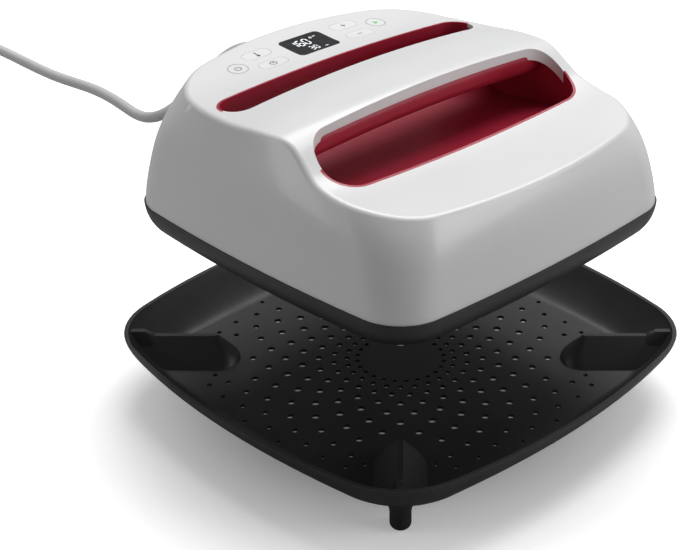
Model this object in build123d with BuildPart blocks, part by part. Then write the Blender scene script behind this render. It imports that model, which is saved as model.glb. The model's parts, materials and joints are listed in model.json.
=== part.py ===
"""Hand-held square heat press held above its perforated safety base.

Frame: millimetres, +Z up, origin on the table under the centre of the base.
The user stands on the -Y side, with +X to the right.
"""
import os
from math import cos, radians, sin

from build123d import *

os.makedirs("parts", exist_ok=True)

# ------------------------------------------------------------------ driving sizes
fit = 0.05                      # running or slip clearance, per side
deep = 120.0                    # any length that passes right through

# safety base
tray_bottom_z = 22.7
tray_floor_z = 25.0
tray_rim_half = 162.0           # half width at the middle of a side
tray_rim_bow = 21.0             # how far a side of the rim bows out
tray_bow_fall = 0.47            # loss of bow for each millimetre of half width
tray_corner_share = 0.35        # corner radius as a share of the half width
rib_inner_r = 127.0             # distance of the rib's ridge end from the centre
rib_outer_r = 195.0
foot_circle_r = 158.5
foot_r, foot_edge_r = 6.9, 4.5
foot_stem_r, foot_stem_height = 3.0, 7.0
leg_bottom_z, leg_top_z, leg_top_r = 13.0, 25.5, 13.0

# press, as it hovers above the base
plate_bottom_z = 130.0
skirt_bottom_z = 132.0
skirt_floor_z = 135.0
seam_z = 150.0                  # white cover meets black skirt
cover_wall = 2.8
crease_r = 4.0                  # rounding between the deck and the walls

# openings of the handle
slot_y, slot_width, slot_length = 43.5, 25.0, 219.0
mouth_y, mouth_width, mouth_length = -44.5, 37.0, 218.0
well_half_x, well_front_y, well_rear_y = 110.0, -64.5, 56.5
well_wall = 2.4
lip_depth, lip_wall = 8.0, 2.4  # white edge that turns down along the front of the handle
collar_depth, collar_wall = 7.0, 1.8    # liner edge that comes up flush with the deck

# control deck
pill_length, pill_width = 23.0, 11.0
disc_r = 7.1
pill_x, pill_rear_y, pill_front_y = 39.0, 95.0, 78.0
disc_x, disc_y = 62.0, 86.5
window_x, window_y, window_centre_y = 36.0, 26.5, 86.3
button_travel = 0.8
button_gap = 0.2
flange_z = 226.8

# heat plate, 9 inch square
plate_size = 229.0
plate_thickness = 10.0
plate_corner_r = 25.0
plate_top_z = plate_bottom_z + plate_thickness
shield_z, shield_thickness = 147.0, 1.2
standoff_at = 92.0

# screws of the press
screw_r, screw_head_r = 1.45, 3.0

CORNERS = ((1, 1), (-1, 1), (-1, -1), (1, -1))
upright = (Align.CENTER, Align.CENTER, Align.MIN)


# ------------------------------------------------------------------ shared outlines
def turned(x, y, angle):
    """The point (x, y) turned about the origin by an angle in degrees."""
    a = radians(angle)
    return (x * cos(a) - y * sin(a), x * sin(a) + y * cos(a))


def bowed_outline(half_x, front, rear, bow, corner_r):
    """Four-sided outline whose sides bow gently outwards, with round corners."""
    middles = ((half_x, (rear - front) / 2), (0, rear), (-half_x, (rear - front) / 2), (0, -front))
    x, low, high = half_x - bow, bow - front, rear - bow
    corners = ((x, low), (x, high), (-x, high), (-x, low))
    with BuildSketch(mode=Mode.PRIVATE) as outline:
        with BuildLine():
            for i, middle in enumerate(middles):
                ThreePointArc(corners[i], middle, corners[(i + 1) % 4])
        make_face()
        fillet(outline.vertices(), corner_r)
    return outline.sketch


def tray_outline(half):
    """Outline of the base, which is squarer the lower it lies."""
    bow = tray_rim_bow - tray_bow_fall * (tray_rim_half - half)
    return bowed_outline(half, half, half, bow, half * tray_corner_share)


def stacked(levels, outline_of):
    """Smooth solid through horizontal outlines, given as (height, half width)."""
    with BuildPart(mode=Mode.PRIVATE) as stack:
        for z, half in levels:
            with BuildSketch(Plane.XY.offset(z)):
                add(outline_of(half))
        loft()
    return stack.part


def write(piece, name):
    """Label a finished piece and write it to its own STEP file."""
    piece.part.label = name
    export_step(piece.part, f"parts/{name}.step")


# ------------------------------------------------------------------ outer form of the press
# height, half width, reach to the front, reach to the rear, bow of the sides, corner radius
body_levels = (
    (150.0, 132.5, 132.5, 132.5, 6.5, 33),
    (160.0, 132.1, 131.9, 132.1, 6.8, 34),
    (172.0, 131.2, 130.6, 131.2, 7.5, 36),
    (192.0, 129.2, 126.6, 129.2, 9.5, 40),
    (206.0, 127.0, 120.8, 127.0, 12.0, 44),
    (218.0, 124.0, 114.0, 124.3, 15.0, 49),
    (230.0, 121.0, 106.0, 120.3, 18.5, 55),
    (242.0, 117.0, 97.5, 115.0, 21.5, 60),
    (254.0, 112.5, 88.5, 108.5, 23.5, 62),
)

# y, height above the seam on the centre line, height above the seam near the sides
deck_profile = (
    (150, 89.5, 85.5),
    (112, 86.8, 83.0),
    (97, 85.6, 82.0),
    (80, 84.3, 80.6),
    (62, 84.4, 80.3),
    (43, 86.2, 81.2),
    (31, 87.9, 82.0),
    (5, 90.8, 84.8),
    (-15, 91.4, 85.4),
    (-26, 90.8, 84.2),
    (-34, 85.5, 79.6),
    (-42, 76.5, 73.0),
    (-50, 67.0, 67.0),
    (-57, 61.5, 64.2),
    (-65, 58.6, 62.6),
    (-82, 57.0, 61.2),
    (-100, 56.0, 59.5),
    (-150, 50.0, 53.0),
)
deck_side_x = 112.0             # where the second height of the profile applies
deck_block_x = 145.0


def deck_block(inset):
    """Everything below the crowned top surface, lowered by inset."""
    with BuildPart(mode=Mode.PRIVATE) as block:
        for x in (-deck_block_x, 0, deck_block_x):
            spread = (x / deck_side_x) ** 2
            top = [(y, seam_z + mid + (side - mid) * spread - inset) for y, mid, side in deck_profile]
            low_z = seam_z - 30
            with BuildSketch(Plane.YZ.offset(x)):
                with BuildLine():
                    Spline(*top)
                    Polyline(top[-1], (top[-1][0], low_z), (top[0][0], low_z), top[0])
                make_face()
        loft()
    return block.part


def body_form(inset):
    """Solid of the whole white body, from the seam up, shrunk by inset."""
    with BuildPart(mode=Mode.PRIVATE) as form:
        for z, half_x, front, rear, bow, corner_r in body_levels:
            with BuildSketch(Plane.XY.offset(z)):
                add(bowed_outline(half_x - inset, front - inset, rear - inset, bow, corner_r - inset))
        loft()
        add(deck_block(inset), mode=Mode.INTERSECT)
        crease = form.faces().sort_by(Axis.Z)[-1].outer_wire().edges()
        fillet(crease, crease_r - inset / 2)
    return form.part


outer_form = body_form(0)
inner_form = body_form(cover_wall)
slip_form = body_form(cover_wall + fit)


def opening_edge(centre_y, width, length, wall, side, gap=0.0):
    """Upright band around one half of an opening: side 1 is its rear half, -1 its front half."""
    with BuildPart(mode=Mode.PRIVATE) as band:
        with BuildSketch(Plane.XY.offset(seam_z)):
            with Locations((0, centre_y)):
                SlotOverall(length + 2 * wall, width + 2 * wall)
            with Locations((0, centre_y + side * (width + gap))):
                Rectangle(2 * length, 2 * width, mode=Mode.INTERSECT)
            with Locations((0, centre_y)):
                SlotOverall(length, width, mode=Mode.SUBTRACT)
        extrude(amount=deep)
        add(outer_form, mode=Mode.INTERSECT)
    return band.part


def lip_band(extra):
    """White edge along the front of the handle, grown by extra."""
    band = opening_edge(mouth_y, mouth_width, mouth_length, lip_wall + extra, 1)
    return band - deck_block(lip_depth + extra)


def collar_bands(shrink):
    """Liner edges at the front of the mouth and the rear of the slot, made smaller by shrink."""
    front = opening_edge(mouth_y, mouth_width, mouth_length, collar_wall - shrink, -1, shrink)
    rear = opening_edge(slot_y, slot_width, slot_length, collar_wall - shrink, 1, shrink)
    return [band - deck_block(collar_depth) for band in (front, rear)]


# ------------------------------------------------------------------ safety base: tray
# height and half width of the outside and of the hollow, from bottom to rim
tray_outside = (
    (22.7, 133.0), (24.0, 138.5), (27.0, 143.5), (32.0, 149.5), (40.0, 156.5), (47.0, 161.0), (50.0, 162.0),
)
tray_hollow = (
    (25.0, 131.0), (26.2, 136.0), (29.0, 140.5), (34.0, 146.5), (41.0, 153.0), (47.0, 157.3), (50.4, 158.9),
)
# height, half width and nose distance of the ribs, and the same of the stops at their outer ends
rib_levels = (
    (24.0, 17.5, 111.5), (29.0, 13.6, 113.0), (33.5, 10.0, 116.5), (39.0, 5.7, 122.0), (44.0, 1.8, 127.0),
)
stop_levels = ((38.0, 6.4, 166.0), (44.0, 3.6, 170.0), (47.5, 2.0, 176.0))
hole_rings = (30.3, 37.5, 46.7, 57.3, 68.7, 80.3, 92.0, 103.0, 112.8, 121.5, 129.2, 134.5)
holes_per_ring = 24
hole_limit = 128.5              # holes stay on the flat floor
hole_rib_gap = 18.0             # and clear of the ribs
hole_nudge = 2.5                # degrees that the last holes beside a rib are turned away from it

tray_envelope = stacked(tray_outside, tray_outline)
tray_well = stacked(tray_hollow, tray_outline)

with BuildPart() as rib:
    for levels in (rib_levels, stop_levels):
        for z, half_width, nose_r in levels:
            length = rib_outer_r - nose_r
            with BuildSketch(Plane.XY.offset(z)):
                with Locations((nose_r + length / 2, 0)):
                    SlotOverall(length, 2 * half_width)
        loft()

with BuildPart() as ribs:
    with PolarLocations(0, 4, start_angle=45):
        add(rib.part)
    add(tray_envelope, mode=Mode.INTERSECT)


def hole_radius(ring_r):
    """Holes are smallest at the centre and near the walls."""
    return 1.5 + 1.35 * sin(radians(180 * min(ring_r - 18, 110) / 118))


def ring_holes(number, ring_r):
    """Centres of one ring of holes, leaving out those under ribs and walls."""
    shift = 7.5 if number % 2 == 0 else 0.0
    for step in range(holes_per_ring):
        angle = step * 360 / holes_per_ring + shift
        past_rib = (angle - 45) % 90        # 0 on a rib, 45 half way between two ribs
        if ring_r > rib_inner_r and min(past_rib, 90 - past_rib) < 10:
            angle += hole_nudge if past_rib < 45 else -hole_nudge
        x, y = turned(ring_r, 0, angle)
        off_rib = abs(abs(x) - abs(y)) / 2 ** 0.5
        under_rib = off_rib < hole_rib_gap and ring_r > rib_inner_r - 20
        if max(abs(x), abs(y)) < hole_limit and not under_rib:
            yield (x, y)


with BuildPart() as leg:
    with BuildSketch(Plane.XZ):
        with BuildLine():
            ThreePointArc((leg_top_r, leg_top_z), (foot_r + 1.6, leg_top_z - 6.5), (foot_r, leg_bottom_z))
            Polyline((foot_r, leg_bottom_z), (0, leg_bottom_z), (0, leg_top_z), (leg_top_r, leg_top_z))
        make_face()
    revolve(axis=Axis.Z)

with BuildPart() as tray:
    add(tray_envelope)
    add(tray_well, mode=Mode.SUBTRACT)
    add(ribs.part)
    for number, ring_r in enumerate(hole_rings):
        with BuildSketch(Plane.XY.offset(tray_bottom_z - 1)):
            with Locations(*ring_holes(number, ring_r)):
                Circle(hole_radius(ring_r))
        extrude(amount=tray_floor_z - tray_bottom_z + 2, mode=Mode.SUBTRACT)
    # flared legs, hollow at the bottom for the feet
    with PolarLocations(foot_circle_r, 4, start_angle=45):
        add(leg.part)
    # clear the legs out of the hollow, and put back the ribs that this cuts
    add(tray_well, mode=Mode.SUBTRACT)
    add(ribs.part)
    with PolarLocations(foot_circle_r, 4, start_angle=45):
        with Locations((0, 0, leg_bottom_z)):
            Cylinder(foot_stem_r + fit, foot_stem_height + 0.2, mode=Mode.SUBTRACT, align=upright)
write(tray, "tray")

with BuildPart() as foot_pads:
    with PolarLocations(foot_circle_r, 4, start_angle=45):
        Cylinder(foot_r, leg_bottom_z - fit, align=upright)
    fillet(foot_pads.edges().filter_by(GeomType.CIRCLE).group_by(Axis.Z)[0], foot_edge_r)
    with PolarLocations(foot_circle_r, 4, start_angle=45):
        Cylinder(foot_stem_r, leg_bottom_z + foot_stem_height, align=upright)
write(foot_pads, "foot_pads")

# ------------------------------------------------------------------ white cover
cover_boss_at = 111.0
boss_r, pilot_r = 3.5, 1.5
board_post_x, board_post_y = 84.0, (68.0, 104.0)
display_post_x, display_post_y = 70.0, (68.5, 103.5)
grip_post_x, grip_post_y, grip_post_z = 60.0, (-9.0, 16.0), 227.0
main_board_z, display_board_z = 187.6, 222.0     # upper faces
inlet_x, inlet_z, inlet_r = -14.0, 221.5, 8.0
corner_spots = [(cover_boss_at * a, cover_boss_at * b) for a, b in CORNERS]
board_spots = [(a * board_post_x, y) for a in (-1, 1) for y in board_post_y]
display_spots = [(a * display_post_x, y) for a in (-1, 1) for y in display_post_y]
grip_spots = [(a * grip_post_x, y) for a in (-1, 1) for y in grip_post_y]
pill_spots = [(a * pill_x, y) for a in (-1, 1) for y in (pill_front_y, pill_rear_y)]
disc_spots = [(a * disc_x, disc_y) for a in (-1, 1)]

with BuildPart() as cover_posts:
    # posts that hang from the cover: (places, lower end)
    for spots, low_z in (
        (board_spots, main_board_z + fit),
        (display_spots, display_board_z + fit),
        (grip_spots, grip_post_z),
        (corner_spots, seam_z + 0.5),
    ):
        with BuildSketch(Plane.XY.offset(low_z)):
            with Locations(*spots):
                Circle(boss_r)
        extrude(amount=deep)
    add(outer_form, mode=Mode.INTERSECT)

with BuildPart() as top_cover:
    add(outer_form)
    add(inner_form, mode=Mode.SUBTRACT)
    with BuildSketch(Plane.XY.offset(seam_z + 30)):
        with Locations((0, slot_y)):
            SlotOverall(slot_length, slot_width)
        with Locations((0, mouth_y)):
            SlotOverall(mouth_length, mouth_width)
        with Locations((0, window_centre_y)):
            RectangleRounded(window_x, window_y, 4)
        with Locations(*pill_spots):
            SlotOverall(pill_length, pill_width)
        with Locations(*disc_spots):
            Circle(disc_r)
    extrude(amount=deep, mode=Mode.SUBTRACT)
    for band in collar_bands(0):
        add(band, mode=Mode.SUBTRACT)
    add(lip_band(0))
    add(cover_posts.part)
    # lower ends of the corner posts, which reach down inside the skirt
    with BuildSketch(Plane.XY.offset(skirt_floor_z + fit)):
        with Locations(*corner_spots):
            Circle(boss_r)
    extrude(amount=seam_z + 1 - skirt_floor_z - fit)
    # pilot holes for the screws
    for spots, low_z, depth in (
        (board_spots, main_board_z, 9),
        (display_spots, display_board_z, 7),
        (grip_spots, grip_post_z, 6),
        (corner_spots, skirt_floor_z, 20),
    ):
        with BuildSketch(Plane.XY.offset(low_z)):
            with Locations(*spots):
                Circle(pilot_r)
        extrude(amount=depth, mode=Mode.SUBTRACT)
    # hole for the cable boot in the back wall
    with BuildSketch(Plane.XZ.offset(-90)):
        with Locations((inlet_x, inlet_z)):
            Circle(inlet_r)
    extrude(amount=-deep, mode=Mode.SUBTRACT)
write(top_cover, "top_cover")

# ------------------------------------------------------------------ handle well and grip
well_centre_y = (well_front_y + well_rear_y) / 2
well_depth_y = well_rear_y - well_front_y

# the floor of the hollow from front to rear: it is deepest under the grip
hollow_floor = (
    (well_front_y, 203.0), (well_front_y + 8, 199.0), (-30, 194.0), (8, 190.0), (38, 193.0),
    (well_rear_y, 207.0),
)
liner_floor = (
    (well_front_y - well_wall, 200.0), (well_front_y + 8, 196.0), (-30, 191.4), (8, 187.2), (39, 190.0),
    (well_rear_y + well_wall, 205.0),
)


def well_form(floor, wall):
    """Everything inside the well above the given floor line, up past the deck."""
    top_z = seam_z + deep
    with BuildPart(mode=Mode.PRIVATE) as form:
        with BuildSketch(Plane.YZ.offset(-well_half_x - wall)):
            with BuildLine():
                Spline(*floor)
                Polyline(floor[-1], (floor[-1][0], top_z), (floor[0][0], top_z), floor[0])
            make_face()
        extrude(amount=2 * (well_half_x + wall))
        with BuildSketch(Plane.XY.offset(seam_z)):
            with Locations((0, well_centre_y)):
                RectangleRounded(2 * (well_half_x + wall), well_depth_y + 2 * wall, 14 + wall)
        extrude(amount=deep, mode=Mode.INTERSECT)
    return form.part


with BuildPart() as handle_well:
    add(well_form(liner_floor, well_wall))
    add(well_form(hollow_floor, 0), mode=Mode.SUBTRACT)
    add(slip_form, mode=Mode.INTERSECT)
    add(lip_band(fit), mode=Mode.SUBTRACT)
    for band in collar_bands(fit):
        add(band)
write(handle_well, "handle_well")

# section of the grip from front to rear, on the centre line; it sinks towards its ends
grip_bottom_z, grip_end_drop = 214.0, 4.5
grip_line = (
    (-25.4, 236.0), (-25.2, 226.0), (-19.5, 218.6), (-8, 214.9), (4, grip_bottom_z), (16, 215.4),
    (26, 220.5),
    (30.6, 229.0), (30.8, 236.0),
)
grip_seat_z = 219.0             # seats of the grip screws
grip_half_x = well_half_x - 0.1

with BuildPart() as handle_grip:
    for x in (-grip_half_x, 0, grip_half_x):
        drop = grip_end_drop * (x / grip_half_x) ** 2
        line = [(y, z - drop) for y, z in grip_line]
        with BuildSketch(Plane.YZ.offset(x)):
            with BuildLine():
                Spline(*line)
                Polyline(line[-1], (line[-1][0], seam_z + deep), (line[0][0], seam_z + deep), line[0])
            make_face()
    loft()
    add(slip_form, mode=Mode.INTERSECT)
    add(lip_band(fit), mode=Mode.SUBTRACT)
    # recesses for the screw heads, screw passages, and room for the posts of the cover
    for radius, low_z, high_z in (
        (screw_head_r + 0.3, grip_bottom_z - 4, grip_seat_z),
        (screw_r + 0.25, grip_seat_z - 1, grip_post_z + 1),
        (boss_r + 0.2, grip_post_z - fit, grip_post_z + 20),
    ):
        with BuildSketch(Plane.XY.offset(low_z)):
            with Locations(*grip_spots):
                Circle(radius)
        extrude(amount=high_z - low_z, mode=Mode.SUBTRACT)
write(handle_grip, "handle_grip")

# ------------------------------------------------------------------ control deck
def pill(x, y, grow):
    with BuildSketch(mode=Mode.PRIVATE) as outline:
        with Locations((x, y)):
            SlotOverall(pill_length + 2 * grow, pill_width + 2 * grow)
    return outline.sketch


def disc(x, y, grow):
    with BuildSketch(mode=Mode.PRIVATE) as outline:
        with Locations((x, y)):
            Circle(disc_r + grow)
    return outline.sketch


# name of each button, its outline and its place
buttons = (
    ("power_button", disc, -disc_x, disc_y),
    ("temperature_button", pill, -pill_x, pill_rear_y),
    ("timer_button", pill, -pill_x, pill_front_y),
    ("plus_button", pill, pill_x, pill_rear_y),
    ("minus_button", pill, pill_x, pill_front_y),
    ("start_button", disc, disc_x, disc_y),
)
for name, outline, x, y in buttons:
    with BuildPart() as button:
        with BuildSketch(Plane.XY.offset(flange_z)):
            add(outline(x, y, -button_gap))
        extrude(amount=deep)
        add(outer_form, mode=Mode.INTERSECT)
        # flange that keeps the cap from falling out
        with BuildSketch(Plane.XY.offset(flange_z)):
            add(outline(x, y, 1.0))
        extrude(amount=1.0)
    write(button, name)

window_bottom_z = 230.0

with BuildPart() as display_window:
    with BuildSketch(Plane.XY.offset(window_bottom_z)):
        with Locations((0, window_centre_y)):
            RectangleRounded(window_x - 2 * fit, window_y - 2 * fit, 4 - fit)
    extrude(amount=deep)
    add(outer_form, mode=Mode.INTERSECT)
write(display_window, "display_window")

with BuildPart() as lcd_module:
    with BuildSketch(Plane.XY.offset(display_board_z + fit)):
        with Locations((0, window_centre_y)):
            Rectangle(window_x - 1, window_y - 1)
    extrude(amount=window_bottom_z - display_board_z - 2 * fit)
write(lcd_module, "lcd_module")

board_thickness = 1.6
board_y = 86.0
display_board_size, main_board_size = (150, 42), (182, 48)

with BuildPart() as display_board:
    with BuildSketch(Plane.XY.offset(display_board_z - board_thickness)):
        with Locations((0, board_y)):
            RectangleRounded(*display_board_size, 3)
        with Locations(*display_spots):
            Circle(screw_r + 0.15, mode=Mode.SUBTRACT)
    extrude(amount=board_thickness)
write(display_board, "display_board")

with BuildPart() as button_switches:
    for _, _, x, y in buttons:
        with Locations((x, y, display_board_z + fit)):
            Box(6, 6, 2.6, align=upright)
            Cylinder(1.6, flange_z - display_board_z - button_travel - 0.1, align=upright)
write(button_switches, "button_switches")

with BuildPart() as buzzer:
    with Locations((30, 86, display_board_z - board_thickness - 5.5 - fit)):
        Cylinder(6, 5.5, align=upright)
write(buzzer, "buzzer")

# ------------------------------------------------------------------ black skirt
skirt_top_z = seam_z - 0.1
skirt_outside = ((132.0, 124.4), (133.2, 127.2), (137.0, 130.2), (144.0, 132.6), (150.0, 133.3))
skirt_bow, skirt_corner_r, skirt_wall = 6.5, 33.0, 3.0
shield_posts = [(a * 121.2, b * 45) for a in (-1, 1) for b in (-1, 1)]
shield_posts += [(y, x) for x, y in shield_posts]


def skirt_outline(half):
    return bowed_outline(half, half, half, skirt_bow, skirt_corner_r)


def skirt_inside(half):
    inner = half - skirt_wall
    return bowed_outline(inner, inner, inner, skirt_bow, skirt_corner_r - skirt_wall)


with BuildPart() as base_skirt:
    add(stacked(skirt_outside, skirt_outline))
    with BuildSketch(Plane.XY.offset(skirt_top_z)):
        Rectangle(300, 300)
    extrude(amount=5, mode=Mode.SUBTRACT)
    hollow = [(z, half) for z, half in skirt_outside if z > skirt_floor_z]
    add(stacked([(skirt_floor_z, 129.4)] + hollow + [(152.0, 133.6)], skirt_inside), mode=Mode.SUBTRACT)
    # square opening for the heat plate
    with BuildSketch(Plane.XY.offset(skirt_bottom_z - 1)):
        RectangleRounded(plate_size + 3, plate_size + 3, plate_corner_r + 1.5)
    extrude(amount=10, mode=Mode.SUBTRACT)
    # posts that carry the heat shield
    with BuildSketch(Plane.XY.offset(skirt_floor_z - 1)):
        with Locations(*shield_posts):
            Circle(boss_r)
    extrude(amount=shield_z - fit - skirt_floor_z + 1)
    with BuildSketch(Plane.XY.offset(shield_z - 8)):
        with Locations(*shield_posts):
            Circle(pilot_r)
    extrude(amount=10, mode=Mode.SUBTRACT)
    # countersunk passages for the cover screws
    with Locations(*[(x, y, skirt_bottom_z) for x, y in corner_spots]):
        Cylinder(screw_head_r + 0.2, 1.8, mode=Mode.SUBTRACT, align=upright)
        Cylinder(screw_r + 0.2, 8, mode=Mode.SUBTRACT, align=upright)
write(base_skirt, "base_skirt")

# ------------------------------------------------------------------ heat plate and what lies on it
plate_screw_r = 1.95
element_r = 3.2
element_z = plate_bottom_z + 5.2
element_rows = (80, 48, 16, -16, -48, -80)
element_end_x = 80.0
element_turn_r = 16.0
riser_r = 8.0
riser_x = -element_end_x - riser_r
riser_top_z = 153.0
standoff_spots = [(standoff_at * a, standoff_at * b) for a, b in CORNERS]
sensor_window = (44.0, 20.0)


def element_line():
    """Centre line of the heating element: six rows with two upright ends."""
    with BuildLine() as path:
        first, last = element_rows[0], element_rows[-1]
        bend = riser_r * (1 - cos(radians(45)))
        Line((riser_x, first, riser_top_z), (riser_x, first, element_z + riser_r))
        ThreePointArc(
            (riser_x, first, element_z + riser_r),
            (riser_x + bend, first, element_z + bend),
            (-element_end_x, first, element_z),
        )
        side = 1
        for y, next_y in zip(element_rows, element_rows[1:]):
            x = side * element_end_x
            Line((-x, y, element_z), (x, y, element_z))
            ThreePointArc(
                (x, y, element_z),
                (x + side * element_turn_r, (y + next_y) / 2, element_z),
                (x, next_y, element_z),
            )
            side = -side
        Line((element_end_x, last, element_z), (-element_end_x, last, element_z))
        ThreePointArc(
            (-element_end_x, last, element_z),
            (riser_x + bend, last, element_z + bend),
            (riser_x, last, element_z + riser_r),
        )
        Line((riser_x, last, element_z + riser_r), (riser_x, last, riser_top_z))
    return path.line


def element_tube(radius):
    with BuildPart(mode=Mode.PRIVATE) as tube:
        path = element_line()
        with BuildSketch(Plane.XY.offset(riser_top_z)):
            with Locations((riser_x, element_rows[0])):
                Circle(radius)
        sweep(path=path)
    return tube.part


with BuildPart() as heating_element:
    add(element_tube(element_r))
write(heating_element, "heating_element")

with BuildPart() as heat_plate:
    with BuildSketch(Plane.XY.offset(plate_bottom_z)):
        RectangleRounded(plate_size, plate_size, plate_corner_r)
    extrude(amount=plate_thickness)
    chamfer(heat_plate.edges().group_by(Axis.Z)[0], 0.8)
    with BuildSketch(Plane.XY.offset(plate_top_z - 7)):
        with Locations(*standoff_spots):
            Circle(plate_screw_r + fit)
    extrude(amount=8, mode=Mode.SUBTRACT)
    add(element_tube(element_r + fit), mode=Mode.SUBTRACT)
write(heat_plate, "heat_plate")

insulation_z, insulation_thickness, insulation_size = plate_top_z + 0.2, 6.2, 214.0
shield_size, shield_corner_r = 249.0, 58.0

with BuildPart() as insulation_pad:
    with BuildSketch(Plane.XY.offset(insulation_z)):
        RectangleRounded(insulation_size, insulation_size, 20)
        Rectangle(*sensor_window, mode=Mode.SUBTRACT)
        with Locations(*standoff_spots):
            Circle(6, mode=Mode.SUBTRACT)
        for y in (element_rows[0], element_rows[-1]):
            with Locations((riser_x + 2, y)):
                SlotOverall(18, 9, mode=Mode.SUBTRACT)
    extrude(amount=insulation_thickness)
write(insulation_pad, "insulation_pad")

with BuildPart() as heat_shield:
    with BuildSketch(Plane.XY.offset(shield_z)):
        RectangleRounded(shield_size, shield_size, shield_corner_r)
        with Locations(*shield_posts):
            Circle(screw_r + 0.2, mode=Mode.SUBTRACT)
        with Locations(*standoff_spots):
            Circle(plate_screw_r + 0.3, mode=Mode.SUBTRACT)
        for y in (element_rows[0], element_rows[-1]):
            with Locations((riser_x, y)):
                Circle(5, mode=Mode.SUBTRACT)
        with Locations((0, 0)):
            Circle(4, mode=Mode.SUBTRACT)
    extrude(amount=shield_thickness)
write(heat_shield, "heat_shield")

with BuildPart() as plate_standoffs:
    with BuildSketch(Plane.XY.offset(plate_top_z + fit)):
        with Locations(*standoff_spots):
            Circle(5)
            Circle(plate_screw_r + 0.3, mode=Mode.SUBTRACT)
    extrude(amount=shield_z - plate_top_z - 2 * fit)
write(plate_standoffs, "plate_standoffs")

with BuildPart() as temperature_sensor:
    with Locations((12, 0, plate_top_z + fit)):
        Cylinder(4, 4.5, align=upright)
write(temperature_sensor, "temperature_sensor")

with BuildPart() as thermal_fuse:
    with BuildSketch(Plane.YZ.offset(-18)):
        with Locations((0, plate_top_z + 2.1)):
            Circle(2)
    extrude(amount=14)
write(thermal_fuse, "thermal_fuse")

# ------------------------------------------------------------------ electronics under the deck
main_board_low_z = main_board_z - board_thickness

with BuildPart() as main_board:
    with BuildSketch(Plane.XY.offset(main_board_low_z)):
        with Locations((0, board_y)):
            RectangleRounded(*main_board_size, 3)
        with Locations(*board_spots):
            Circle(screw_r + 0.15, mode=Mode.SUBTRACT)
    extrude(amount=board_thickness)
write(main_board, "main_board")

# blocks on the main board: name, centre, footprint, height
board_blocks = (
    ("power_supply", (25, 88), (38, 30), 22.0),
    ("relay", (-28, 88), (20, 16), 16.0),
    ("terminal_block", (-58, 88), (26, 12), 12.0),
)
for name, (x, y), (size_x, size_y), height in board_blocks:
    with BuildPart() as block:
        with Locations((x, y, main_board_z + fit)):
            Box(size_x, size_y, height, align=upright)
        fillet(block.edges().filter_by(Axis.Z), 1.0)
    write(block, name)

with BuildPart() as board_capacitors:
    with Locations((60, 80, main_board_z + fit), (60, 96, main_board_z + fit)):
        Cylinder(6, 20, align=upright)
write(board_capacitors, "board_capacitors")

with BuildPart() as ribbon_cable:
    with BuildSketch(Plane.XY.offset(main_board_z + fit)):
        with Locations((-8, 70)):
            Rectangle(16, 0.8)
    extrude(amount=display_board_z - board_thickness - main_board_z - 2 * fit)
write(ribbon_cable, "ribbon_cable")

# wires from the board down to the ends of the element and to the sensor
wire_r = 1.3
wire_runs = (
    ((-80, 72, main_board_low_z - fit), (-84, 78, 170), (riser_x, element_rows[0], riser_top_z + fit)),
    (
        (-70, 72, main_board_low_z - fit), (-76, 40, 166), (-92, -40, 162),
        (riser_x, element_rows[-1], riser_top_z + fit),
    ),
    ((-60, 72, main_board_low_z - fit), (-40, 40, 158), (0, 0, 150)),
)
with BuildPart() as wiring:
    for run in wire_runs:
        with BuildLine(mode=Mode.PRIVATE) as wire:
            Spline(*run, tangents=((0, 0, -1), (0, 0, -1)))
        with BuildSketch(Plane.XY.offset(run[0][2])):
            with Locations(run[0][:2]):
                Circle(wire_r)
        sweep(path=wire.line)
write(wiring, "wiring")

# ------------------------------------------------------------------ mains cable
cord_r = 3.9
cord_inner_y, boot_inner_y, boot_neck_y, boot_bend_y = 109.0, 112.0, 115.0, 122.0
boot_flange_r, boot_start_r, boot_end_r = 9.8, 7.4, 5.2
boot_end, boot_end_way = (-25.0, 155.0, 206.5), (-0.45, 1.0, -0.85)
plug_start, plug_way = (-96.0, 404.0, 184.0), (-0.25, 1.0, 0.05)
cord_stops = (
    boot_end, (-42, 169, 185), (-54, 183, 170.5), (-57, 203, 163.5), (-56, 226, 164), (-55, 262, 166),
    (-61, 300, 167), (-68, 340, 172), (-76, 362, 178), plug_start,
)


def boot_line():
    """Centre line of the boot: straight through the wall, then bending down."""
    with BuildLine(mode=Mode.PRIVATE) as line:
        Line((inlet_x, boot_neck_y, inlet_z), (inlet_x, boot_bend_y, inlet_z))
        Spline((inlet_x, boot_bend_y, inlet_z), boot_end, tangents=((0, 1, 0), boot_end_way))
    return line.line


with BuildPart() as strain_relief:
    with BuildSketch(Plane.XZ.offset(-boot_neck_y)):
        with Locations((inlet_x, inlet_z)):
            Circle(boot_start_r)
    with BuildSketch(Plane(origin=boot_end, z_dir=boot_end_way)):
        Circle(boot_end_r)
    sweep(path=boot_line(), multisection=True)
    with BuildSketch(Plane.XZ.offset(-boot_inner_y)):
        with Locations((inlet_x, inlet_z)):
            Circle(boot_flange_r)
    extrude(amount=boot_inner_y - boot_neck_y)
    # passage for the cord
    with BuildSketch(Plane.XZ.offset(-boot_neck_y)):
        with Locations((inlet_x, inlet_z)):
            Circle(cord_r + fit)
    sweep(path=boot_line(), mode=Mode.SUBTRACT)
    with BuildSketch(Plane.XZ.offset(-boot_inner_y)):
        with Locations((inlet_x, inlet_z)):
            Circle(cord_r + fit)
    extrude(amount=boot_inner_y - boot_neck_y, mode=Mode.SUBTRACT)
write(strain_relief, "strain_relief")

with BuildPart() as power_cord:
    with BuildLine() as cord_line:
        Line((inlet_x, cord_inner_y, inlet_z), (inlet_x, boot_neck_y, inlet_z))
        add(boot_line())
        Spline(*cord_stops, tangents=(boot_end_way, plug_way))
    with BuildSketch(Plane.XZ.offset(-cord_inner_y)):
        with Locations((inlet_x, inlet_z)):
            Circle(cord_r)
    sweep(path=cord_line.line)
write(power_cord, "power_cord")

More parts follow.
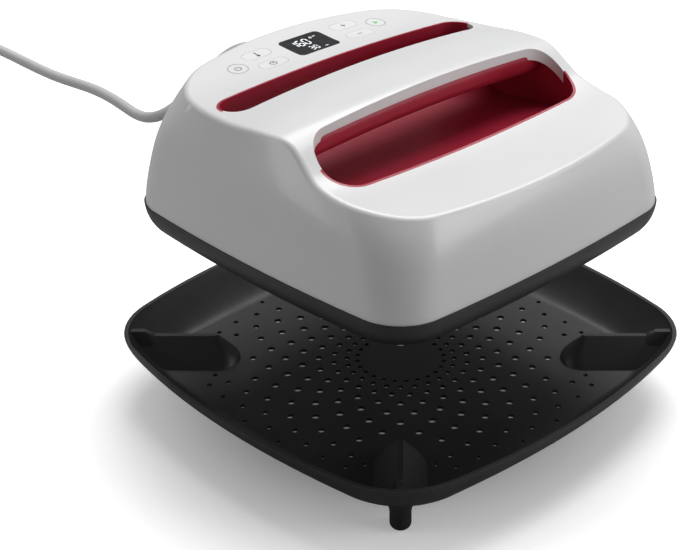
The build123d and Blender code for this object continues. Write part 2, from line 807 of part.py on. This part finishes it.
plug_plane = Plane(origin=plug_start, x_dir=(1, 0.25, 0), z_dir=plug_way)
plug_length, blade_length, pin_length = 42.0, 17.0, 20.0
blade_gap = 12.7                # between the two flat blades
ground_drop = 9.0

with BuildPart() as mains_plug:
    with BuildSketch(plug_plane.offset(fit)):
        SlotOverall(13.2, 12.4)
    with BuildSketch(plug_plane.offset(12)):
        SlotOverall(20, 14)
    with BuildSketch(plug_plane.offset(24)):
        SlotOverall(27, 20)
    with BuildSketch(plug_plane.offset(plug_length)):
        SlotOverall(29, 23)
    loft()
write(mains_plug, "mains_plug")

with BuildPart() as plug_pins:
    with BuildSketch(plug_plane.offset(plug_length + fit)):
        with Locations((-blade_gap / 2, 3), (blade_gap / 2, 3)):
            RectangleRounded(1.5, 6.4, 0.6)
    extrude(amount=blade_length)
    with BuildSketch(plug_plane.offset(plug_length + fit)):
        with Locations((0, 3 - ground_drop)):
            Circle(2.4)
    extrude(amount=pin_length)
write(plug_pins, "plug_pins")


# ------------------------------------------------------------------ screws
def screw_set(name, spots, seat_z, head_height, shank_length, way=1, radius=screw_r, head_r=screw_head_r):
    """Equal screws: a head outside the seat and a shank beyond it, upwards for way 1."""
    with BuildPart() as screws:
        with BuildSketch(Plane.XY.offset(seat_z - way * fit)):
            with Locations(*spots):
                Circle(head_r)
        extrude(amount=-way * head_height)
        with BuildSketch(Plane.XY.offset(seat_z - way * (fit + head_height) + way * 1.0)):
            with Locations(*spots):
                RegularPolygon(1.3, 6)
        extrude(amount=-way * 1.0, mode=Mode.SUBTRACT)
        with BuildSketch(Plane.XY.offset(seat_z - way * fit)):
            with Locations(*spots):
                Circle(radius)
        extrude(amount=way * shank_length)
    write(screws, name)


screw_set("cover_screws", corner_spots, skirt_bottom_z + 1.8, 1.6, 18)
screw_set("main_board_screws", board_spots, main_board_low_z, 1.8, 8)
screw_set("display_board_screws", display_spots, display_board_z - board_thickness, 1.8, 7)
screw_set("grip_screws", grip_spots, grip_seat_z, 2.0, 12)
screw_set("shield_screws", shield_posts, shield_z + shield_thickness, 1.8, 7, -1)
screw_set(
    "plate_screws", standoff_spots, shield_z + shield_thickness, 2.4, 13, -1,
    radius=plate_screw_r, head_r=3.6,
)
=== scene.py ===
"""Looks of the hand-held heat press above its safety base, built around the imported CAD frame."""

import json
import math

import bmesh
import bpy
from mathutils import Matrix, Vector
from mathutils.bvhtree import BVHTree


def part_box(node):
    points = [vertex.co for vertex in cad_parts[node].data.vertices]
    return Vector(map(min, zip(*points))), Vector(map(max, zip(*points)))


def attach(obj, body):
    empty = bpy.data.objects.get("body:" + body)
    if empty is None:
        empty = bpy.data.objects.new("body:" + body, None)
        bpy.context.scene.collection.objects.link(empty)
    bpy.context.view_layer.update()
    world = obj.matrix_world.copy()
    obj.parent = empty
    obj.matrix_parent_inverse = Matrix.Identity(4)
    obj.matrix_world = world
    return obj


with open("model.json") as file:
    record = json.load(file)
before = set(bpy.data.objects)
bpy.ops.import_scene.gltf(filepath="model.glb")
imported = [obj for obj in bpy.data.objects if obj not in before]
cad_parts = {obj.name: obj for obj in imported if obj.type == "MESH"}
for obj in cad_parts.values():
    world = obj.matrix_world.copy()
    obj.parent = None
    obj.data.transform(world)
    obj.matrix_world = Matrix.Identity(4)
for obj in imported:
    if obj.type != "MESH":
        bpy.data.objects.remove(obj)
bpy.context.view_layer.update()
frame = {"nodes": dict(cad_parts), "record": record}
nodes = frame["nodes"]

MM = 0.001


# ------------------------------------------------------------------ materials
# metres across: patches of slightly different colour and gloss, and the painted highlight along an edge
COLOUR_DRIFT, GLOSS_DRIFT, PAINTED_HIGHLIGHT_EDGE = 0.06, 0.045, 0.0009


class Recipe:
    """Builds one node material around a Principled BSDF."""

    def __init__(self, name):
        self.material = bpy.data.materials.new(name)
        self.material.use_nodes = True
        self.tree = self.material.node_tree
        self.shader = self.tree.nodes["Principled BSDF"]
        self.coords = self.tree.nodes.new("ShaderNodeTexCoord").outputs["Object"]

    def new(self, kind, **inputs):
        node = self.tree.nodes.new(kind)
        for key, value in inputs.items():
            node.inputs[key.replace("_", " ")].default_value = value
        return node

    def link(self, source, target):
        self.tree.links.new(source, target)

    def set(self, **inputs):
        for key, value in inputs.items():
            self.shader.inputs[key.replace("_", " ")].default_value = value
        return self

    def noise(self, size, detail=3.0, roughness=0.5, stretch=None):
        """Noise whose features are about `size` metres across."""
        node = self.new("ShaderNodeTexNoise", Scale=1.0 / size, Detail=detail, Roughness=roughness)
        source = self.coords
        if stretch:
            mapping = self.tree.nodes.new("ShaderNodeMapping")
            mapping.inputs["Scale"].default_value = stretch
            self.link(self.coords, mapping.inputs["Vector"])
            source = mapping.outputs["Vector"]
        self.link(source, node.inputs["Vector"])
        return node.outputs["Fac"]

    def ramp(self, value, low, high, at_low, at_high):
        """Maps value from low..high to at_low..at_high, as a number or a colour."""
        if isinstance(at_low, (int, float)):
            node = self.new("ShaderNodeMapRange")
            limits = {"From Min": low, "From Max": high, "To Min": at_low, "To Max": at_high}
            for key, number in limits.items():
                node.inputs[key].default_value = number
            self.link(value, node.inputs["Value"])
            return node.outputs["Result"]
        node = self.tree.nodes.new("ShaderNodeValToRGB")
        node.color_ramp.elements[0].position = low
        node.color_ramp.elements[1].position = high
        node.color_ramp.elements[0].color = (*at_low, 1)
        node.color_ramp.elements[1].color = (*at_high, 1)
        self.link(value, node.inputs["Fac"])
        return node.outputs["Color"]

    def colour(self, source):
        self.link(source, self.shader.inputs["Base Color"])
        return self

    def roughness(self, source):
        self.link(source, self.shader.inputs["Roughness"])
        return self

    def bump(self, height, depth):
        """Bump of about `depth` metres from a height source of 0 to 1."""
        node = self.new("ShaderNodeBump", Strength=1.0, Distance=depth)
        self.link(height, node.inputs["Height"])
        previous = self.shader.inputs["Normal"].links
        if previous:
            self.link(previous[0].from_socket, node.inputs["Normal"])
        self.link(node.outputs["Normal"], self.shader.inputs["Normal"])
        return self

    def edge_mask(self, radius, low=0.02, high=0.25):
        """About 1 on convex and concave edges, from the difference a rounded normal makes."""
        bevel = self.new("ShaderNodeBevel", Radius=radius)
        geometry = self.tree.nodes.new("ShaderNodeNewGeometry")
        dot = self.tree.nodes.new("ShaderNodeVectorMath")
        dot.operation = "DOT_PRODUCT"
        self.link(bevel.outputs["Normal"], dot.inputs[0])
        self.link(geometry.outputs["Normal"], dot.inputs[1])
        return self.ramp(dot.outputs["Value"], 1.0 - high, 1.0 - low, 1.0, 0.0)


def moulded(name, low, high, rough, grain, grain_depth, coat=0.0, painted_edge_highlight=None):
    """Moulded plastic: faint colour drift, uneven gloss, a fine grain and, if asked, a painted highlight
    along edges.
    """
    r = Recipe(name)
    drift = r.ramp(r.noise(COLOUR_DRIFT, 2.0), 0.35, 0.65, low, high)
    # painted highlight: the colour is lightened along convex and concave edges
    if painted_edge_highlight:
        mix = r.tree.nodes.new("ShaderNodeMix")
        mix.data_type = "RGBA"
        r.link(r.edge_mask(PAINTED_HIGHLIGHT_EDGE), mix.inputs["Factor"])
        r.link(drift, mix.inputs["A"])
        mix.inputs["B"].default_value = (*painted_edge_highlight, 1)
        drift = mix.outputs["Result"]
    r.colour(drift)
    r.roughness(r.ramp(r.noise(GLOSS_DRIFT, 3.0), 0.3, 0.7, rough - 0.02, rough + 0.03))
    r.bump(r.noise(grain, 2.0), grain_depth)
    r.set(Coat_Weight=coat, Coat_Roughness=0.12, IOR=1.5)
    return r.material


def metal(name, colour, rough, grain=0.0006, stretch=(1, 12, 12)):
    """Brushed metal: fine lines one way, with roughness that follows them."""
    r = Recipe(name)
    lines = r.noise(grain, 3.0, 0.6, stretch)
    r.colour(r.ramp(lines, 0.3, 0.7, [c * 0.85 for c in colour], colour))
    r.roughness(r.ramp(lines, 0.3, 0.7, rough * 0.8, rough * 1.3))
    r.bump(lines, 0.00002)
    r.set(Metallic=1.0)
    return r.material


def coated_plate():
    """Ceramic-coated aluminium: dark satin with tiny pale flecks."""
    r = Recipe("plate_coating")
    flecks = r.noise(0.0009, 1.0)
    r.colour(r.ramp(flecks, 0.62, 0.72, (0.055, 0.055, 0.058), (0.22, 0.22, 0.23)))
    r.roughness(r.ramp(r.noise(0.02), 0.3, 0.7, 0.32, 0.42))
    r.bump(r.noise(0.0007, 2.0), 0.00002)
    return r.material


def fibre_pad():
    """Pale matted fibre whose strands run mostly one way."""
    r = Recipe("insulation_fibre")
    strands = r.noise(0.0012, 5.0, 0.7, (1, 6, 1))
    r.colour(r.ramp(strands, 0.3, 0.7, (0.62, 0.57, 0.44), (0.85, 0.81, 0.7)))
    r.bump(strands, 0.0004)
    r.set(Roughness=0.95, Sheen_Weight=0.3)
    return r.material


def smoked_window():
    """Dark polished display window with a faint smudge in its gloss."""
    r = Recipe("smoked_window")
    r.colour(r.ramp(r.noise(0.012, 2.0), 0.3, 0.7, (0.016, 0.016, 0.018), (0.024, 0.024, 0.027)))
    r.roughness(r.ramp(r.noise(0.006, 3.0), 0.35, 0.7, 0.12, 0.24))
    r.bump(r.noise(0.004, 1.0), 0.000004)
    r.set(Coat_Weight=0.2)
    return r.material


def printed(name, colour, glow=0.0):
    """Printed ink or lit segment: thin, slightly uneven colour."""
    r = Recipe(name)
    tint = r.ramp(r.noise(0.0009, 2.0), 0.2, 0.8, [c * 0.88 for c in colour], colour)
    r.colour(tint)
    r.set(Roughness=0.5)
    r.bump(r.noise(0.0005, 1.0), 0.000005)
    # glow: the light of a lit display segment, and a painted glow on the green ink
    if glow:
        r.link(tint, r.shader.inputs["Emission Color"])
        r.set(Emission_Strength=glow)
    return r.material


def cable_sheath():
    """Soft grey cable sheath with fine lengthwise drawing marks."""
    r = Recipe("cable_sheath")
    r.colour(r.ramp(r.noise(0.02, 3.0), 0.3, 0.7, (0.56, 0.56, 0.57), (0.62, 0.62, 0.63)))
    r.roughness(r.ramp(r.noise(0.004, 4.0), 0.3, 0.7, 0.42, 0.55))
    r.bump(r.noise(0.0006, 3.0, 0.6), 0.00004)
    return r.material


def circuit_board():
    """Green solder mask with pale copper traces showing through."""
    r = Recipe("circuit_board")
    cells = r.new("ShaderNodeTexVoronoi", Scale=260.0)
    cells.feature = "DISTANCE_TO_EDGE"
    r.link(r.coords, cells.inputs["Vector"])
    traces = cells.outputs["Distance"]
    r.colour(r.ramp(traces, 0.04, 0.07, (0.05, 0.24, 0.10), (0.012, 0.09, 0.035)))
    r.set(Roughness=0.35, Coat_Weight=0.4)
    r.bump(traces, 0.00003)
    return r.material


# one finish per material slot of the record
finishes = {
    "white_shell": moulded(
        "white_shell", (0.795, 0.797, 0.80), (0.81, 0.811, 0.813), 0.34, 0.0009, 0.0000025, 0.2,
    ),
    "button_white": moulded(
        "button_white", (0.76, 0.76, 0.765), (0.80, 0.80, 0.80), 0.42, 0.0007, 0.00001,
    ),
    "red_liner": moulded(
        "red_liner", (0.40, 0.020, 0.048), (0.44, 0.024, 0.054), 0.33, 0.0009, 0.000006, 0.2,
    ),
    "black_shell": moulded(
        "black_shell", (0.020, 0.020, 0.021), (0.027, 0.027, 0.028), 0.42, 0.0006, 0.00002,
    ),
    "tray_black": moulded(
        "tray_black", (0.018, 0.018, 0.019), (0.027, 0.027, 0.028), 0.46, 0.00055, 0.00004,
        # painted highlight along the rim and other edges of the base
        painted_edge_highlight=(0.055, 0.055, 0.057),
    ),
    "rubber_foot": moulded(
        "rubber_foot", (0.012, 0.012, 0.012), (0.022, 0.022, 0.022), 0.75, 0.0005, 0.00006,
    ),
    "component_black": moulded(
        "component_black", (0.02, 0.02, 0.02), (0.035, 0.035, 0.035), 0.5, 0.0006, 0.00003,
    ),
    "component_blue": moulded(
        "component_blue", (0.03, 0.09, 0.32), (0.04, 0.12, 0.4), 0.4, 0.0006, 0.00002,
    ),
    "ceramic": moulded("ceramic", (0.8, 0.77, 0.7), (0.87, 0.85, 0.8), 0.3, 0.0008, 0.00001, 0.5),
    "wire": moulded("wire", (0.55, 0.05, 0.04), (0.68, 0.08, 0.06), 0.5, 0.0006, 0.00002),
    "window_smoke": smoked_window(),
    "lcd": smoked_window(),
    "board_green": circuit_board(),
    "plate_coating": coated_plate(),
    "bare_metal": metal("bare_metal", (0.60, 0.60, 0.61), 0.28),
    "shield_metal": metal("shield_metal", (0.78, 0.78, 0.79), 0.35),
    "brass_pin": metal("brass_pin", (0.72, 0.66, 0.50), 0.22),
    "insulation": fibre_pad(),
    "cable_grey": cable_sheath(),
}


def paint(piece, material):
    """Gives a piece one material."""
    piece.data.materials.clear()
    piece.data.materials.append(material)


for part in frame["record"]["subparts"]:
    paint(nodes[part["node"]], finishes[part["material_slot"]])


# ------------------------------------------------------------------ prints on the control deck
def surface_tree(*names):
    """Ray-cast tree over the given CAD nodes."""
    verts, faces = [], []
    for name in names:
        mesh = nodes[name].data
        start = len(verts)
        verts += [v.co.copy() for v in mesh.vertices]
        faces += [[start + i for i in p.vertices] for p in mesh.polygons]
    return BVHTree.FromPolygons(verts, faces)


def drop(tree, x, y, lift):
    """The point of the surface under (x, y), raised by lift."""
    hit = tree.ray_cast(Vector((x, y, 1.0)), Vector((0, 0, -1)))[0]
    return Vector((x, y, hit.z + lift))


def ribbon(points, width, closed):
    """Flat strip of the given width along a line of (x, y) points, as (verts, faces)."""
    count = len(points)
    verts, faces = [], []
    for i, p in enumerate(points):
        before = points[(i - 1) % count] if closed or i > 0 else p
        after = points[(i + 1) % count] if closed or i < count - 1 else p
        way = (Vector(after) - Vector(before)).normalized()
        side = Vector((-way.y, way.x)) * width / 2
        verts += [Vector(p) + side, Vector(p) - side]
    last = count if closed else count - 1
    for i in range(last):
        a, b = 2 * i, 2 * ((i + 1) % count)
        faces.append((a, a + 1, b + 1, b))
    return verts, faces


def arc(cx, cy, r, start, end, steps):
    """Points on a circle from one angle to the other, in degrees."""
    return [
        (cx + r * math.cos(math.radians(start + (end - start) * i / steps)),
         cy + r * math.sin(math.radians(start + (end - start) * i / steps)))
        for i in range(steps + 1)
    ]


def bar(x0, y0, x1, y1, width):
    """Straight strip between two points."""
    return ribbon([(x0, y0), (x1, y1)], width, False)


def patch(points):
    """Filled outline."""
    return [Vector(p) for p in points], [tuple(range(len(points)))]


def deck_print(name, shapes, surfaces, body, material, lift=0.00002, thickness=0.00008):
    """Joins flat shapes into one thin print that lies on the deck."""
    tree = surface_tree(*surfaces)
    bm = bmesh.new()
    for verts, faces in shapes:
        made = [bm.verts.new(drop(tree, v[0], v[1], lift)) for v in verts]
        for face in faces:
            bm.faces.new([made[i] for i in face])
    bmesh.ops.recalc_face_normals(bm, faces=bm.faces)
    for face in bm.faces:
        if face.normal.z < 0:
            face.normal_flip()
    mesh = bpy.data.meshes.new(name)
    bm.to_mesh(mesh)
    bm.free()
    piece = bpy.data.objects.new(name, mesh)
    bpy.context.scene.collection.objects.link(piece)
    solid = piece.modifiers.new("thickness", "SOLIDIFY")
    solid.thickness, solid.offset = thickness, 1.0
    paint(piece, material)
    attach(piece, body)
    return piece


def centre_of(node):
    """Centre of a CAD node, seen from above."""
    low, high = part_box(node)
    return (low.x + high.x) / 2, (low.y + high.y) / 2


ink = printed("grey_ink", (0.10, 0.10, 0.11))
# painted glow: the green ink of the start icon is given a faint light of its own
green_ink_painted_glow = printed("green_ink_painted_glow", (0.10, 0.52, 0.14), 0.25)
lit = printed("lit_segment", (0.80, 0.82, 0.84), 0.6)
outline_ink = printed("outline_ink", (0.42, 0.42, 0.43))
LINE, OUTLINE = 0.55 * MM, 0.35 * MM    # widths of printed lines
OUTLINE_INSET = 1.5 * MM                # from the edge of a button to its outline
OUTLINE_CORNER = 0.72                   # corner radius as a share of half the button's depth


def power_icon(x, y):
    r = 2.3 * MM
    return [ribbon(arc(x, y, r, 125, 415, 28), LINE, False), bar(x, y + 0.4 * MM, x, y + 3.0 * MM, LINE)]


def thermometer_icon(x, y):
    bulb = patch(arc(x, y - 2.2 * MM, 1.25 * MM, 0, 345, 23))
    return [bulb, bar(x, y - 1.6 * MM, x, y + 3.0 * MM, 0.9 * MM)]


def timer_icon(x, y):
    r = 2.4 * MM
    face = ribbon(arc(x, y, r, 0, 348, 29), LINE, True)
    hands = [bar(x, y, x, y + 1.6 * MM, LINE), bar(x, y, x + 1.2 * MM, y, LINE)]
    return [face, *hands]


def plus_icon(x, y):
    return [bar(x - 2 * MM, y, x + 2 * MM, y, LINE), bar(x, y - 2 * MM, x, y + 2 * MM, LINE)]


def minus_icon(x, y):
    return [bar(x - 2 * MM, y, x + 2 * MM, y, LINE)]


def start_icon(x, y):
    triangle = [(x - 1.6 * MM, y - 2.2 * MM), (x + 2.4 * MM, y), (x - 1.6 * MM, y + 2.2 * MM)]
    return [patch(triangle)]


def button_outline(node):
    """Fine line just inside the rim of a button."""
    low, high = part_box(node)
    x, y = centre_of(node)
    half_w, half_d = (high.x - low.x) / 2 - OUTLINE_INSET, (high.y - low.y) / 2 - OUTLINE_INSET
    is_round = abs(half_w - half_d) < MM
    r = min(half_w, half_d) * (1.0 if is_round else OUTLINE_CORNER)
    corners = ((1, 1, 0), (-1, 1, 90), (-1, -1, 180), (1, -1, 270))
    line = []
    for side_x, side_y, start in corners:
        line += arc(x + side_x * (half_w - r), y + side_y * (half_d - r), r, start, start + 90, 9)
    # the quarters of a round button share their end points
    line = [p for i, p in enumerate(line) if i == 0 or (Vector(p) - Vector(line[i - 1])).length > 1e-6]
    return ribbon(line, OUTLINE, True)


# what is printed on each button, and in which ink
icons = {
    "power": (power_icon, ink),
    "temperature": (thermometer_icon, ink),
    "timer": (timer_icon, ink),
    "plus": (plus_icon, ink),
    "minus": (minus_icon, ink),
    "start": (start_icon, green_ink_painted_glow),
}
for name, (draw, material) in icons.items():
    node = f"{name}_button"
    deck_print(f"{name}_icon", draw(*centre_of(node)), (node,), node, material)

for name in icons:
    node = f"{name}_button"
    deck_print(f"{name}_outline", [button_outline(node)], (node,), node, outline_ink)

# seven-segment digits: which of the segments a..g are lit
SEGMENTS = {"0": "abcdef", "1": "bc", "3": "abcdg", "6": "acdefg"}


def digit(symbol, x, y, w, h, line):
    """One seven-segment digit, w wide and h high, with its lower left corner at (x, y)."""
    gap = line * 0.6                # between the ends of neighbouring segments
    places = {
        "a": (x + gap, y + h, x + w - gap, y + h),
        "g": (x + gap, y + h / 2, x + w - gap, y + h / 2),
        "d": (x + gap, y, x + w - gap, y),
        "f": (x, y + h / 2 + gap, x, y + h - gap),
        "b": (x + w, y + h / 2 + gap, x + w, y + h - gap),
        "e": (x, y + gap, x, y + h / 2 - gap),
        "c": (x + w, y + gap, x + w, y + h / 2 - gap),
    }
    return [bar(*places[s], line) for s in SEGMENTS[symbol]]


# millimetres from the centre of the display: text, left end, baseline, pitch, digit width and height, line
NUMBERS = (("160", -12.5, -0.6, 5.4, 3.6, 8.0, 0.95), ("30", -5.0, -9.8, 4.0, 2.5, 5.4, 0.75))
# and of the small signs: the ring of the degree sign, then short dashes as left end, right end and height
DEGREE_CENTRE, DEGREE_R, DEGREE_LINE = (6.6, 6.6), 0.9, 0.45
DASHES, DASH_LINE = ((9.0, 11.4, 7.2), (6.0, 8.6, -9.6)), 0.6


def display_marks():
    """Temperature, time and small signs of the display, placed about its centre."""
    cx, cy = centre_of("display_window")
    shapes = []
    for text, left, base, pitch, w, h, line in NUMBERS:
        for i, symbol in enumerate(text):
            shapes += digit(symbol, cx + (left + pitch * i) * MM, cy + base * MM, w * MM, h * MM, line * MM)
    ring_x, ring_y = cx + DEGREE_CENTRE[0] * MM, cy + DEGREE_CENTRE[1] * MM
    shapes.append(ribbon(arc(ring_x, ring_y, DEGREE_R * MM, 0, 340, 17), DEGREE_LINE * MM, True))
    for left, right, y in DASHES:
        shapes.append(bar(cx + left * MM, cy + y * MM, cx + right * MM, cy + y * MM, DASH_LINE * MM))
    return shapes


deck_print("display_segments", display_marks(), ("display_window",), "press", lit)


# ------------------------------------------------------------------ stage, light and camera
SKY_STRENGTH = 0.16
LIT_POINT = (0, 0, 0.19)                # middle of the press, which the lights look at
# name, place, width, height and power in watts
SOFT_BOXES = (
    ("overhead", (0.55, 0.30, 1.5), 1.3, 1.1, 22),
    ("front", (0.9, -1.5, 0.75), 0.9, 0.9, 9.5),
    ("left_rim", (-1.3, 0.75, 0.5), 0.25, 0.9, 3),
)
CAMERA_PLACE = (-0.6783, -0.6779, 0.6179)
CAMERA_TURN, CAMERA_RISE = -45.0, 28.78     # degrees round from the front, and up from level
SENSOR_WIDTH, LENS, LENS_SHIFT = 36.0, 85.37, -0.0891


def stage_floor():
    """Pale paper floor that reads white to the camera and throws little light back, with a painted shadow
    below the base.
    """
    bpy.ops.mesh.primitive_plane_add(size=12.0, location=(0, 0, 0))
    floor = bpy.context.object
    floor.name = "floor"
    r = Recipe("floor_paper")
    seen = r.tree.nodes.new("ShaderNodeLightPath").outputs["Is Camera Ray"]
    r.colour(r.ramp(seen, 0.0, 1.0, (0.42, 0.42, 0.42), (0.92, 0.92, 0.92)))
    reach = r.tree.nodes.new("ShaderNodeVectorMath")
    reach.operation = "LENGTH"
    r.link(r.coords, reach.inputs[0])
    # painted shadow: the floor's glow is darker below the base, then even from just beyond its walls
    shade = r.ramp(reach.outputs["Value"], 0.10, 0.26, 0.10, 0.62)
    glow = r.tree.nodes.new("ShaderNodeMath")
    glow.operation = "MULTIPLY"
    r.link(seen, glow.inputs[0])
    r.link(shade, glow.inputs[1])
    r.link(glow.outputs["Value"], r.shader.inputs["Emission Strength"])
    r.bump(r.noise(0.003, 3.0), 0.00002)
    r.set(Roughness=0.8, Emission_Color=(1, 1, 1, 1))
    paint(floor, r.material)


def panel(name, place, target, width, height, power):
    """Soft box of the given size that looks at target."""
    light = bpy.data.lights.new(name, "AREA")
    light.shape = "RECTANGLE"
    light.size, light.size_y, light.energy = width, height, power
    holder = bpy.data.objects.new(name, light)
    bpy.context.scene.collection.objects.link(holder)
    holder.location = place
    holder.rotation_euler = (Vector(target) - Vector(place)).to_track_quat("-Z", "Y").to_euler()


def studio():
    world = bpy.data.worlds.new("studio")
    world.use_nodes = True
    world.node_tree.nodes["Background"].inputs["Color"].default_value = (1, 1, 1, 1)
    world.node_tree.nodes["Background"].inputs["Strength"].default_value = SKY_STRENGTH
    bpy.context.scene.world = world
    for name, place, width, height, power in SOFT_BOXES:
        panel(name, place, LIT_POINT, width, height, power)


def photo_camera():
    """Camera on the front-left diagonal, above the press, with a sideways lens shift."""
    data = bpy.data.cameras.new("camera")
    camera = bpy.data.objects.new("camera", data)
    bpy.context.scene.collection.objects.link(camera)
    turn, rise = math.radians(CAMERA_TURN), math.radians(CAMERA_RISE)
    back = Vector((math.sin(turn) * math.cos(rise), -math.cos(turn) * math.cos(rise), math.sin(rise)))
    camera.location = CAMERA_PLACE
    camera.rotation_euler = (-back).to_track_quat("-Z", "Y").to_euler()
    data.sensor_width, data.lens, data.shift_x = SENSOR_WIDTH, LENS, LENS_SHIFT
    bpy.context.scene.camera = camera


stage_floor()
studio()
photo_camera()
bpy.context.scene.view_settings.view_transform = "Standard"
